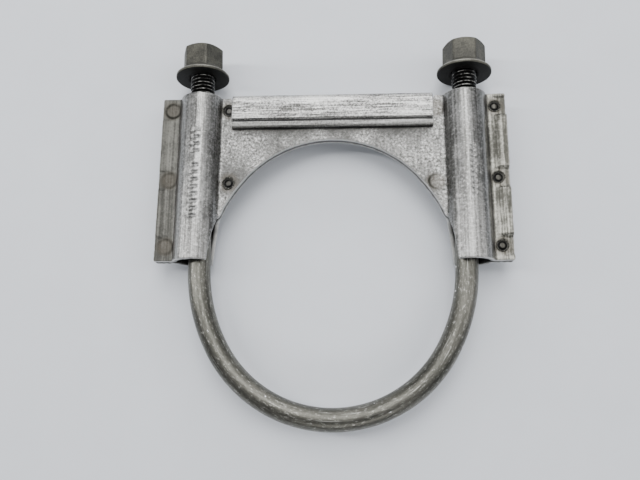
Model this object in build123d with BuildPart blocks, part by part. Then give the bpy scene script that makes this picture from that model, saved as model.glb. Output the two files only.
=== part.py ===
from build123d import *
from math import atan2, cos, degrees, hypot, radians, sin, tan
import os

# A saddle-and-U-bolt clamp for an exhaust pipe joint, lying flat.
# Origin: on the pipe's axis, halfway through the saddle. +Z runs along the pipe,
# +Y along the U-bolt's legs towards the nuts, +X to the right. Millimetres.

os.makedirs("parts", exist_ok=True)

# ---- Driving dimensions -------------------------------------------------------------

# The pipe that the clamp closes on.
PIPE_RADIUS = 44.45

# Saddle: two equal stampings back to back, each a flat web with a half-tube at
# either end and a flat strip outside each half-tube.
SHEET = 2.0
SADDLE_HALF_WIDTH = 68.5
SADDLE_TOP = 62.8
SADDLE_BOTTOM = -4.6
TUBE_X = 52.7
TUBE_OUTER = 8.6
TUBE_INNER = TUBE_OUTER - SHEET
BEND_OUTSIDE = 1.0
BEND_INSIDE = BEND_OUTSIDE + SHEET
STRIP_CORNER = 0.8

# The pipe arc runs out into a wider arc beside the tubes, and each tube is open
# towards the pipe near its mouth: (height, half-angle of the opening in degrees).
RELIEF_RADIUS = 46.75
RELIEF_DROP = 4.9
MOUTH_OPENING = ((SADDLE_BOTTOM - 2.0, 46.5), (1.4, 42.0), (8.5, 30.0), (15.5, 10.0))

# Projection welds. Each stamping has its own pips on one strip and on the far web.
STRIP_WELD_X = 64.2
STRIP_WELD_Y = (57.5, 28.0, 1.2)
WEB_WELDS = ((40.6, 26.7), (41.5, 57.3))
NUGGET_RADIUS = 2.0
NUGGET_DEPTH = 1.0
DIMPLE_RADIUS = 2.1
DIMPLE_CORE = 1.3
DIMPLE_DEPTH = 0.35
DIMPLE_RING_DEPTH = 0.7

# Cap: a channel crimped over the web's top edge.
CAP_SHEET = 2.0
CAP_HALF_LENGTH = 40.0
CAP_TOP = 63.8
CAP_BOTTOM = 49.2
CAP_CORNER = 2.7
CAP_LIP_ROUND = 1.0
CAP_GROOVE_Y = 52.4
CAP_GROOVE_RADIUS = 0.55
CAP_END_GAP = 0.3

# U-bolt: the bottom of the bow has the pipe's radius, the legs spread a little.
ROD_RADIUS = 4.3
BOW_DROP = 13.75
LEG_SPREAD = 1.8
LEG_FOOT_X = 50.8
LEG_FOOT_Y = -8.0
STUD_END_Y = 83.8
THREAD_RADIUS = 4.875
THREAD_LENGTH = 46.0
THREAD_RUNOUT = 1.2
STUD_CHAMFER = 0.9

# Flange nuts.
NUT_SEAT_Y = 72.3
NUT_ACROSS_FLATS = 15.0
NUT_HEIGHT = 12.8
NUT_TOP_CHAMFER_RADIUS = 7.2
NUT_CHAMFER_ANGLE = 30.0
NUT_FLANGE_RADIUS = 10.8
NUT_FLANGE_RIM = 1.4
NUT_FLANGE_TOP_RADIUS = 8.0
NUT_FLANGE_HEIGHT = 3.4
NUT_RIM_ROUND = 0.4
NUT_BORE_RADIUS = THREAD_RADIUS + 0.06
NUT_COUNTERSINK = 0.6
NUT_LEFT_TURN = 51.0
NUT_RIGHT_TURN = -8.0


# ---- Saddle stampings ---------------------------------------------------------------

def tube_mouth(side):
    """The wedge that opens one tube towards the pipe, widening to the tube's mouth."""
    reach = 2 * TUBE_OUTER
    with BuildPart() as wedge:
        for height, half_angle in MOUTH_OPENING:
            along = side * (TUBE_X - reach * cos(radians(half_angle)))
            across = reach * sin(radians(half_angle))
            with BuildSketch(Plane.XZ.offset(-height)):
                with BuildLine():
                    Polyline((side * TUBE_X, 0), (along, across), (along, -across), close=True)
                make_face()
        loft()
    return wedge.part


mouth_left = tube_mouth(-1)
mouth_right = tube_mouth(1)

# Pips of the front stamping, and all the spots where the two sheets are fused.
front_pips = [(STRIP_WELD_X, y) for y in STRIP_WELD_Y] + [(-x, y) for x, y in WEB_WELDS]
strip_spots = [(side * STRIP_WELD_X, y) for side in (-1, 1) for y in STRIP_WELD_Y]
web_spots = [(side * x, y) for side in (-1, 1) for x, y in WEB_WELDS]

with BuildPart() as saddle_front:
    # Section across the saddle: flat sheet with two half-tubes.
    with BuildSketch(Plane.XZ.offset(-SADDLE_BOTTOM)) as section:
        with Locations((0, SHEET / 2)):
            Rectangle(2 * SADDLE_HALF_WIDTH, SHEET)
        with Locations((-TUBE_X, 0), (TUBE_X, 0)):
            Circle(TUBE_OUTER)
        with Locations((-TUBE_X, 0), (TUBE_X, 0)):
            Circle(TUBE_INNER, mode=Mode.SUBTRACT)
        with Locations((0, -TUBE_OUTER)):
            Rectangle(2 * SADDLE_HALF_WIDTH, 2 * TUBE_OUTER, mode=Mode.SUBTRACT)
        corners = section.vertices().filter_by(lambda v: abs(v.X) < SADDLE_HALF_WIDTH - 1)
        fillet(corners.filter_by(lambda v: abs(v.Z - SHEET) < 0.01), BEND_OUTSIDE)
        corners = section.vertices().filter_by(lambda v: abs(v.X) < SADDLE_HALF_WIDTH - 1)
        fillet(corners.filter_by(lambda v: abs(v.Z) < 0.01), BEND_INSIDE)
    extrude(amount=SADDLE_BOTTOM - SADDLE_TOP)
    # The four outer corners of the strips.
    outer = saddle_front.edges().filter_by(Axis.Z)
    fillet(outer.filter_by(lambda e: abs(e.center().X) > SADDLE_HALF_WIDTH - 0.1), STRIP_CORNER)
    # Pipe arc, relief arc and tube mouths.
    with BuildSketch(Plane.XY):
        Circle(PIPE_RADIUS)
    extrude(amount=2 * TUBE_OUTER, mode=Mode.SUBTRACT)
    with BuildSketch(Plane.XY):
        with Locations((0, -RELIEF_DROP)):
            Circle(RELIEF_RADIUS)
    extrude(amount=SHEET, mode=Mode.SUBTRACT)
    add(mouth_left, mode=Mode.SUBTRACT)
    add(mouth_right, mode=Mode.SUBTRACT)
    # The web's top edge is lower where the cap sits on it.
    with BuildSketch(Plane.XY):
        with Locations((0, SADDLE_TOP)):
            Rectangle(2 * (CAP_HALF_LENGTH + CAP_END_GAP), 2 * (SADDLE_TOP - CAP_TOP + CAP_SHEET))
    extrude(amount=SHEET, mode=Mode.SUBTRACT)
    # Weld pockets on the joint face, and the dimple behind each of this sheet's pips.
    with BuildSketch(Plane.XY):
        with Locations(*strip_spots, *web_spots):
            Circle(NUGGET_RADIUS)
    extrude(amount=NUGGET_DEPTH, mode=Mode.SUBTRACT)
    with BuildSketch(Plane.XY.offset(SHEET)):
        with Locations(*front_pips):
            Circle(DIMPLE_RADIUS)
    extrude(amount=-DIMPLE_DEPTH, mode=Mode.SUBTRACT)
    with BuildSketch(Plane.XY.offset(SHEET)):
        with Locations(*front_pips):
            Circle(DIMPLE_RADIUS)
        with Locations(*front_pips):
            Circle(DIMPLE_CORE, mode=Mode.SUBTRACT)
    extrude(amount=-DIMPLE_RING_DEPTH, mode=Mode.SUBTRACT)

# The back stamping is the same pressing, turned half a turn about the Y axis.
with BuildPart() as saddle_back:
    with Locations(Location((0, 0, 0), (0, 180, 0))):
        add(saddle_front.part)


# ---- Welds --------------------------------------------------------------------------

with BuildPart() as strip_welds:
    with BuildSketch(Plane.XY):
        with Locations(*strip_spots):
            Circle(NUGGET_RADIUS)
    extrude(amount=NUGGET_DEPTH, both=True)

with BuildPart() as web_welds:
    with BuildSketch(Plane.XY):
        with Locations(*web_spots):
            Circle(NUGGET_RADIUS)
    extrude(amount=NUGGET_DEPTH, both=True)


# ---- Cap ----------------------------------------------------------------------------

with BuildPart() as saddle_cap:
    cap_half_thickness = SHEET + CAP_SHEET
    with BuildSketch(Plane.YZ) as channel:
        with Locations(((CAP_TOP + CAP_BOTTOM) / 2, 0)):
            Rectangle(CAP_TOP - CAP_BOTTOM, 2 * cap_half_thickness)
        fillet(channel.vertices().group_by(Axis.Y)[-1], CAP_CORNER)
        fillet(channel.vertices().group_by(Axis.Y)[0], CAP_LIP_ROUND)
        with Locations(((CAP_TOP - CAP_SHEET + CAP_BOTTOM) / 2 - SHEET, 0)):
            Rectangle(CAP_TOP - CAP_SHEET - CAP_BOTTOM + 2 * SHEET, 2 * SHEET, mode=Mode.SUBTRACT)
        with Locations((CAP_GROOVE_Y, cap_half_thickness), (CAP_GROOVE_Y, -cap_half_thickness)):
            Circle(CAP_GROOVE_RADIUS, mode=Mode.SUBTRACT)
    extrude(amount=CAP_HALF_LENGTH, both=True)


# ---- U-bolt -------------------------------------------------------------------------

# The bow is three tangent arcs. The side arcs leave the legs at their foot, and their
# radius is the one that also meets the bottom arc, which has the pipe's radius.
spread = radians(LEG_SPREAD)
bow_radius = PIPE_RADIUS + ROD_RADIUS
foot_rise = LEG_FOOT_Y + BOW_DROP
side_radius = (LEG_FOOT_X**2 + foot_rise**2 - bow_radius**2) / (
    2 * (LEG_FOOT_X * cos(spread) - foot_rise * sin(spread) - bow_radius)
)
side_centre_x = LEG_FOOT_X - side_radius * cos(spread)
side_centre_y = LEG_FOOT_Y + side_radius * sin(spread)
join_angle = degrees(atan2(-BOW_DROP - side_centre_y, -side_centre_x))
print("side arc radius", round(side_radius, 2), "joins the bottom arc at", round(join_angle, 2))


def leg_point(side, height):
    """The point on a leg's centre line at the given height."""
    return Vector(side * (LEG_FOOT_X + (height - LEG_FOOT_Y) * tan(spread)), height, 0)


def leg_plane(side, height):
    """A plane square to a leg, facing up along it, with its x axis across the clamp."""
    up = Vector(side * sin(spread), cos(spread), 0)
    across = Vector(cos(spread), -side * sin(spread), 0)
    return Plane(origin=leg_point(side, height), x_dir=across, z_dir=up)


thread_foot_y = STUD_END_Y - THREAD_LENGTH * cos(spread)

with BuildPart() as u_bolt:
    with BuildLine() as centre_line:
        Line(leg_point(-1, STUD_END_Y), leg_point(-1, LEG_FOOT_Y))
        CenterArc((-side_centre_x, side_centre_y), side_radius, 180 + LEG_SPREAD, -join_angle - LEG_SPREAD)
        CenterArc((0, -BOW_DROP), bow_radius, 180 - join_angle, 180 + 2 * join_angle)
        CenterArc((side_centre_x, side_centre_y), side_radius, join_angle, -join_angle - LEG_SPREAD)
        Line(leg_point(1, LEG_FOOT_Y), leg_point(1, STUD_END_Y))
    with BuildSketch(leg_plane(-1, STUD_END_Y)):
        Circle(ROD_RADIUS)
    sweep()
    # Rolled threads stand a little proud of the rod, so each stud is turned at its
    # crest diameter, with a short cone at its foot and a chamfer at its tip.
    for side in (-1, 1):
        leg_axis = leg_plane(side, thread_foot_y)
        with BuildSketch(Plane(origin=leg_axis.origin, x_dir=leg_axis.x_dir, z_dir=(0, 0, 1))):
            with BuildLine():
                Polyline(
                    (0, 0),
                    (ROD_RADIUS, 0),
                    (THREAD_RADIUS, THREAD_RUNOUT),
                    (THREAD_RADIUS, THREAD_LENGTH - STUD_CHAMFER),
                    (THREAD_RADIUS - STUD_CHAMFER, THREAD_LENGTH),
                    (0, THREAD_LENGTH),
                    close=True,
                )
            make_face()
        revolve(axis=Axis(leg_axis.origin, leg_axis.z_dir))


# ---- Nuts ---------------------------------------------------------------------------

with BuildPart() as nut_blank:
    with BuildSketch(Plane.XY):
        RegularPolygon(NUT_ACROSS_FLATS / 2, 6, major_radius=False)
    extrude(amount=NUT_HEIGHT)
    # Top corners are turned off to a cone.
    corner_radius = NUT_ACROSS_FLATS
    corner_drop = (corner_radius - NUT_TOP_CHAMFER_RADIUS) * tan(radians(NUT_CHAMFER_ANGLE))
    with BuildSketch(Plane.XZ):
        with BuildLine():
            Polyline(
                (0, 0),
                (corner_radius, 0),
                (corner_radius, NUT_HEIGHT - corner_drop),
                (NUT_TOP_CHAMFER_RADIUS, NUT_HEIGHT),
                (0, NUT_HEIGHT),
                close=True,
            )
        make_face()
    revolve(axis=Axis.Z, mode=Mode.INTERSECT)
    with BuildSketch(Plane.XZ) as flange:
        with BuildLine():
            Polyline(
                (0, 0),
                (NUT_FLANGE_RADIUS, 0),
                (NUT_FLANGE_RADIUS, NUT_FLANGE_RIM),
                (NUT_FLANGE_TOP_RADIUS, NUT_FLANGE_HEIGHT),
                (0, NUT_FLANGE_HEIGHT),
                close=True,
            )
        make_face()
        fillet(flange.vertices().group_by(Axis.X)[-1], NUT_RIM_ROUND)
    revolve(axis=Axis.Z)
    Hole(NUT_BORE_RADIUS)
    bore_edges = nut_blank.edges().filter_by(GeomType.CIRCLE)
    chamfer(bore_edges.filter_by(lambda e: abs(e.radius - NUT_BORE_RADIUS) < 0.01), NUT_COUNTERSINK)

# The left nut has a corner towards +Z and the right nut has a flat towards +Z.
with BuildPart() as nut_left:
    with Locations(leg_plane(-1, NUT_SEAT_Y)):
        add(nut_blank.part, rotation=(0, 0, NUT_LEFT_TURN))

with BuildPart() as nut_right:
    with Locations(leg_plane(1, NUT_SEAT_Y)):
        add(nut_blank.part, rotation=(0, 0, NUT_RIGHT_TURN))


# ---- Write each piece ---------------------------------------------------------------

pieces = {
    "saddle_front": saddle_front,
    "saddle_back": saddle_back,
    "saddle_cap": saddle_cap,
    "strip_welds": strip_welds,
    "web_welds": web_welds,
    "u_bolt": u_bolt,
    "nut_left": nut_left,
    "nut_right": nut_right,
}
for name, piece in pieces.items():
    piece.part.label = name
    export_step(piece.part, f"parts/{name}.step")
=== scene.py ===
# %% [markdown]
# # A saddle clamp for an exhaust pipe
#
# This lesson dresses a small steel clamp: two pressed plates welded back to back, a
# channel crimped over their top edge, a bent rod with a rolled thread on each end, and
# two tall flange nuts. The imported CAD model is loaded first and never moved. The pieces
# made below take its nodes' places.

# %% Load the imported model
from math import atan2, cos, pi, radians, sin, sqrt, tan

import bpy
import numpy as np
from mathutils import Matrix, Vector


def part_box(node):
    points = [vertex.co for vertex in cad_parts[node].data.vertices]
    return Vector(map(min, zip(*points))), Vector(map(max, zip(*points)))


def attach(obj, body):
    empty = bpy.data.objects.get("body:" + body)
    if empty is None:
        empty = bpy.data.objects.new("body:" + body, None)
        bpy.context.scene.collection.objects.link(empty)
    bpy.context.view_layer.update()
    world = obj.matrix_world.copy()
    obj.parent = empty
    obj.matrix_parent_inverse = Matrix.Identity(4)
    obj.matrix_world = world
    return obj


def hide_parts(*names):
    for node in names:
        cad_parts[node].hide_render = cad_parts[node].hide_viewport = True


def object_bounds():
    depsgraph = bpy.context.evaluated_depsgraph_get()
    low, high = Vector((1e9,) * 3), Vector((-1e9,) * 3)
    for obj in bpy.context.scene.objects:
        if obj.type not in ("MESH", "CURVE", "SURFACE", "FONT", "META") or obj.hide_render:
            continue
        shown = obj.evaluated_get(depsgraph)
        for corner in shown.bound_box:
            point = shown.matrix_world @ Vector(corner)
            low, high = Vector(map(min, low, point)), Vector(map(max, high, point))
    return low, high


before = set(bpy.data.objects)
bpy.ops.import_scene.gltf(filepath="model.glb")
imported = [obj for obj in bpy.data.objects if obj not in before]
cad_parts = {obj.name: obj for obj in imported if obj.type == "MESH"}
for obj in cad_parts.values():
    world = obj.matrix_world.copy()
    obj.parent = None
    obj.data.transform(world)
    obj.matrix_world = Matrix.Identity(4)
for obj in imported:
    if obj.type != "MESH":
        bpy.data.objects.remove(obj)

cad_low, cad_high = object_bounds()
print("CAD box in mm:", [round(1000 * v, 1) for v in (*cad_low, *cad_high)])

# %% [markdown]
# ## Sizes
#
# The clamp lies flat: Z is the pipe's axis, Y runs along the legs towards the nuts.
# The large sizes are read from the model's own boxes, so that they can't drift from it.
# The small ones, such as the sheet's thickness, are the maker's own figures.

# %% Sizes of the pressings, read from the model
MM = 0.001
plate_low, plate_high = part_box("saddle_front")
cap_low, cap_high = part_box("saddle_cap")
SHEET = 2.0 * MM
HALF_WIDTH = plate_high.x
PLATE_TOP = plate_high.y
PLATE_BOTTOM = plate_low.y
TUBE_RADIUS = plate_high.z - SHEET / 2
TUBE_X = 52.7 * MM
BEND = 1.0 * MM + SHEET / 2
PIPE_RADIUS = 44.45 * MM
CAP_HALF = cap_high.x
PIP_SPOTS = ((64.2, 57.5), (64.2, 28.0), (64.2, 1.2), (-40.6, 26.7), (-41.5, 57.3))
print("plate is", round(2 * HALF_WIDTH / MM, 1), "by", round((PLATE_TOP - PLATE_BOTTOM) / MM, 1))

# %% [markdown]
# ## Camera, floor and light
#
# A product shot of a flat metal part needs two things: a camera almost straight above,
# leaning a little towards the bow, and broad soft lamps. Bare steel has little colour of
# its own, so what it shows is mostly the lamps' reflections. A long lamp beyond the nuts
# gives the cap its bright edge, and one at each side draws a line of light along each
# tube. A faint one near the bow keeps the fronts of the nuts from going black. Point
# lamps would give hard sparkles in place of a satin sheen.

# %% Camera
def linked(name, data):
    """A new object that holds data, as a member of the scene."""
    made = bpy.data.objects.new(name, data)
    bpy.context.scene.collection.objects.link(made)
    return made


camera = linked("camera", bpy.data.cameras.new("camera"))
camera.data.sensor_width = 36.0
camera.data.lens = 34.87
camera.location = (8.33 * MM, -49.64 * MM, 231.8 * MM)
camera.rotation_euler = (0.2277, 0.0536, 0.0067)
camera.data.clip_start = 0.01
camera.data.clip_end = 20.0
bpy.context.scene.camera = camera
print("camera stands", round(camera.location.length / MM), "mm from the pipe's axis")


# %% Soft lamps and the room's own light
def soft_lamp(name, place, size, watts, aim=(0, 0, 0)):
    """A rectangular lamp at place that faces aim. size is its width and height in metres."""
    lamp = linked(name, bpy.data.lights.new(name, "AREA"))
    lamp.data.shape = "RECTANGLE"
    lamp.data.size, lamp.data.size_y = size
    lamp.data.energy = watts
    lamp.location = place
    lamp.rotation_euler = (Vector(aim) - Vector(place)).to_track_quat("-Z", "Y").to_euler()


soft_lamp("lamp_above", (0.02, 0.46, 0.92), (0.55, 0.80), 8.6)
soft_lamp("lamp_beyond", (0.10, 0.85, 0.36), (0.9, 0.25), 3.0, aim=(0, 0.02, 0))
soft_lamp("lamp_left", (-0.62, 0.10, 0.58), (0.08, 0.90), 4.2)
soft_lamp("lamp_right", (0.62, 0.00, 0.58), (0.34, 0.80), 2.8)
soft_lamp("lamp_near", (0.10, -0.75, 0.50), (0.60, 0.16), 1.6)

world = bpy.data.worlds.new("studio")
bpy.context.scene.world = world
world.use_nodes = True
background = world.node_tree.nodes["Background"]
background.inputs["Color"].default_value = (0.88, 0.92, 1.0, 1.0)
background.inputs["Strength"].default_value = 0.15

# %% [markdown]
# ## Writing node maths as sums
#
# A finish is a network of small nodes. Wiring each by hand is long to read, so one small
# class wraps a node's output and lets Python's own signs add the Math nodes:
# `0.4 + 0.2 * grain` is two nodes. A second class makes any node from its type, its
# settings and what goes into its sockets. It serves materials and, later, Geometry Nodes.

# %% Wire
class Wire:
    """A node's output that can be used in sums."""

    def __init__(self, maker, socket):
        self.maker = maker
        self.socket = socket

    def out(self, name):
        """Another output of the same node."""
        return Wire(self.maker, self.socket.node.outputs[name])

    def calc(self, operation, *others):
        return self.maker.maths(operation, self, *others)

    def __add__(self, other):
        return self.calc("ADD", other)

    def __sub__(self, other):
        return self.calc("SUBTRACT", other)

    def __rsub__(self, other):
        return self.maker.maths("SUBTRACT", other, self)

    def __mul__(self, other):
        return self.calc("MULTIPLY", other)

    def __truediv__(self, other):
        return self.calc("DIVIDE", other)

    def __rtruediv__(self, other):
        return self.maker.maths("DIVIDE", other, self)

    __radd__ = __add__
    __rmul__ = __mul__

    def size(self):
        return self.calc("ABSOLUTE")

    def at_least(self, other):
        return self.calc("MAXIMUM", other)

    def at_most(self, other):
        return self.calc("MINIMUM", other)

    def rise(self, low, high):
        """0 below low, 1 above high, smooth between. With low above high it falls."""
        return self.maker.node(
            "ShaderNodeMapRange",
            {"interpolation_type": "SMOOTHSTEP"},
            {"Value": self, "From Min": low, "From Max": high},
        )


# %% Maker
class Maker:
    """Makes the nodes of one tree and wires them up."""

    def __init__(self, tree):
        self.tree = tree

    def node(self, kind, settings=None, sockets=None):
        """A new node's first output. The settings come first, then values and links."""
        made = self.tree.nodes.new(kind)
        for key, value in (settings or {}).items():
            setattr(made, key, value)
        for key, value in (sockets or {}).items():
            if isinstance(value, Wire):
                self.tree.links.new(value.socket, made.inputs[key])
            else:
                made.inputs[key].default_value = value
        return Wire(self, made.outputs[0]) if made.outputs else None

    def maths(self, operation, *values):
        return self.node("ShaderNodeMath", {"operation": operation}, dict(enumerate(values)))

    def vector(self, operation, *values):
        return self.node("ShaderNodeVectorMath", {"operation": operation}, dict(enumerate(values)))


# %% Finish
class Finish(Maker):
    """A material in the making."""

    def __init__(self, name):
        self.material = bpy.data.materials.new(name)
        self.material.use_nodes = True
        super().__init__(self.material.node_tree)
        self.tree.nodes.clear()

    def place(self):
        """Where on the clamp a point is, in metres."""
        return self.node("ShaderNodeTexCoord").out("Object")

    def attribute(self, name, output="Fac"):
        return self.node("ShaderNodeAttribute", {"attribute_name": name}).out(output)

    def noise(self, place, scale, detail=3.0, roughness=0.6):
        sockets = {"Vector": place, "Scale": scale, "Detail": detail, "Roughness": roughness}
        return self.node("ShaderNodeTexNoise", None, sockets).out("Fac")

    def drawn(self, place, scale, detail=3.0, roughness=0.6):
        """Noise with its own scale on each axis, so that the pattern is drawn out."""
        return self.noise(self.vector("MULTIPLY", place, scale), 1.0, detail, roughness)

    def blend(self, low, high, share):
        """Colour low where share is 0, colour high where it is 1."""
        mixed = self.node("ShaderNodeMix", {"data_type": "RGBA"}, {0: share, 6: low, 7: high})
        return Wire(self, mixed.socket.node.outputs[2])

    def coated(self, colour, *coats):
        """The colour under some coats. Each coat is a colour and the share it covers."""
        for coat, share in coats:
            colour = self.blend(colour, coat, share)
        return colour

    def bump(self, height, depth, strength=1.0, normal=None):
        sockets = {"Height": height, "Distance": depth, "Strength": strength}
        if normal:
            sockets["Normal"] = normal
        return self.node("ShaderNodeBump", None, sockets)

    def surface(self, **sockets):
        """The last step: the surface shader. Socket names have _ for a space."""
        named = {key.replace("_", " "): value for key, value in sockets.items()}
        shader = self.node("ShaderNodeBsdfPrincipled", None, named)
        self.node("ShaderNodeOutputMaterial", None, {"Surface": shader})
        print(self.material.name, "has", len(self.tree.nodes), "nodes")
        return self.material


def grey(value, warmth=0.0):
    """A neutral colour. Warmth above 0 leans to olive and brown."""
    return (value * (1 + 0.5 * warmth), value * (1 + 0.3 * warmth), value * (1 - warmth), 1.0)


print("a warm grey is", [round(v, 3) for v in grey(0.3, 0.1)])

# %% [markdown]
# ## Floor
#
# A plain pale sheet, large enough to fill the view, at the height of the lowest point
# that the clamp rests on. A faint mottle keeps it from looking like bare computer white.

# %% Floor
floor_finish = Finish("pale_floor")
mottle = floor_finish.noise(floor_finish.place(), 40.0)
floor_colour = floor_finish.blend((0.72, 0.75, 0.80, 1), (0.78, 0.81, 0.86, 1), mottle)
FLOOR_EDGE = 3.0
floor_mesh = bpy.data.meshes.new("floor")
floor_corners = [(-1, -1), (1, -1), (1, 1), (-1, 1)]
floor_mesh.from_pydata(
    [(x * FLOOR_EDGE, y * FLOOR_EDGE, cad_low.z) for x, y in floor_corners], [], [(0, 1, 2, 3)]
)
floor_mesh.materials.append(floor_finish.surface(Base_Color=floor_colour, Roughness=0.75))
floor = linked("floor", floor_mesh)
print("floor at", round(cad_low.z / MM, 2), "mm")

# %% [markdown]
# ## Meshes from grids
#
# Pressed sheet, turned nuts and folded channel are all surfaces that can be unrolled
# into rows and columns. So most pieces here are worked out as arrays of points with
# numpy and handed to Blender as a grid, which keeps the faces even and small enough to
# carry dents, rounded edges and wear.

# %% Faces from rows of points
def grid_faces(rows, columns, first=0, closed=False):
    """Four-sided faces of a grid whose points are numbered row by row from first."""
    across = columns if closed else columns - 1
    row = np.arange(rows - 1)[:, None] * columns
    column = np.arange(across)[None, :]
    after = (column + 1) % columns
    corners = [row + column, row + after, row + columns + after, row + columns + column]
    return first + np.stack(corners, axis=-1).reshape(-1, 4)


def ring_faces(one, two):
    """Faces between two closed loops of point numbers of the same length."""
    return np.stack([one, np.roll(one, -1), np.roll(two, -1), two], axis=-1)


print("a 3 by 4 grid has", len(grid_faces(3, 4)), "faces")


# %% Pieces from points and faces, and their place in the model
def make_piece(name, points, faces, finish, values=None):
    """An object at the origin from points and faces, shaded smooth. values are per point."""
    mesh = bpy.data.meshes.new(name)
    mesh.from_pydata(np.asarray(points).tolist(), [], [tuple(f) for f in faces])
    mesh.polygons.foreach_set("use_smooth", [True] * len(mesh.polygons))
    for key, numbers in (values or {}).items():
        attribute = mesh.attributes.new(key, "FLOAT", "POINT")
        attribute.data.foreach_set("value", np.asarray(numbers, np.float32))
    mesh.materials.append(finish)
    mesh.validate()
    print(name, "has", len(mesh.polygons), "faces")
    return linked(name, mesh)


def put_on(piece, body, node):
    """Lets a piece ride on a body in place of a CAD node, which is hidden."""
    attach(piece, body)
    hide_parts(node)


# %% Smooth steps and uneven heights
def ripple(x, y, wavelength, seed, waves=18):
    """A smooth, uneven height between about -1 and 1, the same on every run."""
    draw = np.random.default_rng(seed)
    angle = draw.uniform(0, 2 * pi, waves)
    length = wavelength * draw.uniform(0.7, 1.6, waves)
    shift = draw.uniform(0, 2 * pi, waves)
    total = 0.0
    for turn, step, start in zip(angle, length, shift):
        total = total + np.sin(2 * pi * (x * cos(turn) + y * sin(turn)) / step + start)
    return total / sqrt(waves)


def fade(value, low, high):
    """0 at low, 1 at high, with a smooth start and end."""
    share = np.clip((value - low) / (high - low), 0, 1)
    return share * share * (3 - 2 * share)


print("a quarter of the way up, a smooth step is at", round(float(fade(0.25, 0, 1)), 3))

# %% [markdown]
# ## The pressed plates: section
#
# Each plate starts as flat sheet. A press forms a half-tube near each end to hold a leg
# of the rod. The shape across the plate is the same at any height, so it is written as
# a path: flat web, a bend out, half a tube, a bend back, flat strip. `section` follows
# that path by distance from the middle, and gives the sheet's centre line and the
# direction in which it faces.

# %% Path across a plate
bend_reach = sqrt((TUBE_RADIUS + BEND) ** 2 - (SHEET / 2 + BEND) ** 2)
bend_lift = SHEET / 2 + BEND
lean = atan2(bend_lift, bend_reach)
WEB_FLAT = TUBE_X - bend_reach
BEND_ARC = BEND * (pi / 2 - lean)
TUBE_ARC = TUBE_RADIUS * (pi - 2 * lean)
STRIP_START = WEB_FLAT + 2 * BEND_ARC + TUBE_ARC
HALF_PATH = STRIP_START + HALF_WIDTH - (TUBE_X + bend_reach)


def section(path):
    """Centre line (x, z) and facing direction (x, z) at signed distances along the path."""
    far = np.abs(path)
    level = 0 * far
    out = (far - WEB_FLAT) / BEND
    around = pi - lean - (far - WEB_FLAT - BEND_ARC) / TUBE_RADIUS
    back = (STRIP_START - far) / BEND
    # Each stretch: where it ends, then x, z and the two parts of the way it faces.
    stretches = (
        (WEB_FLAT, far, level + SHEET / 2, level, level + 1),
        (WEB_FLAT + BEND_ARC, WEB_FLAT + BEND * np.sin(out), bend_lift - BEND * np.cos(out),
         -np.sin(out), np.cos(out)),
        (WEB_FLAT + BEND_ARC + TUBE_ARC, TUBE_X + TUBE_RADIUS * np.cos(around),
         TUBE_RADIUS * np.sin(around), np.cos(around), np.sin(around)),
        (STRIP_START, TUBE_X + bend_reach - BEND * np.sin(back), bend_lift - BEND * np.cos(back),
         np.sin(back), np.cos(back)),
        (np.inf, TUBE_X + bend_reach + far - STRIP_START, level + SHEET / 2, level, level + 1),
    )
    zones = [far <= stretch[0] for stretch in stretches]
    x, z, face_x, face_z = (np.select(zones, part) for part in list(zip(*stretches))[1:])
    side = np.where(path < 0, -1.0, 1.0)
    return side * x, z, side * face_x, face_z


print("half the path:", round(HALF_PATH / MM, 2), "mm for", round(HALF_WIDTH / MM, 2), "mm of width")

# %% [markdown]
# ## The pressed plates: outline
#
# The blank is cut before it is formed: straight sides, a straight top that steps down
# under the cap, and the pipe's arc below. Near the tubes the arc runs on across the
# half-tube and leaves its mouth open towards the pipe. In the unrolled sheet that is
# one curve, so a few points of it are enough, joined by a smooth line.

# %% Lower and upper edge of the blank, by distance along the path
MOUTH_EDGE = (
    (34.0, 28.63), (36.5, 25.5), (38.6, 22.5), (40.6, 19.4), (42.2, 16.4), (43.5, 13.5),
    (44.9, 12.1), (46.1, 10.9), (46.9, 9.5), (47.8, 7.2), (48.6, 4.3), (49.2, 1.2),
    (49.65, -2.0), (49.95, -4.7),
)
CORNER = 0.8 * MM
ARC_END = MOUTH_EDGE[0][0] * MM


def smooth_line(points, steps=12):
    """Points on a smooth line through the given ones (a Catmull-Rom spline)."""
    known = np.array(points) * MM
    known = np.vstack([2 * known[0] - known[1], known, 2 * known[-1] - known[-2]])
    made = []
    for a, b, c, d in zip(known[:-3], known[1:-2], known[2:-1], known[3:]):
        for share in np.arange(steps) / steps:
            cubic = 2 * a - 5 * b + 4 * c - d
            made.append(0.5 * (2 * b + (c - a) * share + cubic * share**2
                               + (3 * b - 3 * c + d - a) * share**3))
    return np.vstack(made + [known[-2]])


mouth_line = smooth_line(MOUTH_EDGE)


def round_corner(far):
    """How much the strip's outer corners cut into the height at this distance."""
    into = np.clip(far - (HALF_PATH - CORNER), 0, CORNER)
    return CORNER - np.sqrt(CORNER**2 - into**2)


def lower_edge(path):
    far = np.abs(path)
    arc = np.sqrt(np.maximum(PIPE_RADIUS**2 - far**2, 0))
    mouth = np.interp(far, mouth_line[:, 0], mouth_line[:, 1])
    free = PLATE_BOTTOM + round_corner(far)
    return np.where(far < ARC_END, arc, np.maximum(mouth, free))


def upper_edge(path):
    far = np.abs(path)
    beside_cap = fade(far, CAP_HALF + 0.2 * MM, CAP_HALF + 0.9 * MM)
    step_down = PLATE_TOP - cap_high.y + SHEET
    return PLATE_TOP - round_corner(far) - (1 - beside_cap) * step_down


print("arc top at", round(float(lower_edge(np.array([0.0]))[0]) / MM, 2), "mm")

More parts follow.
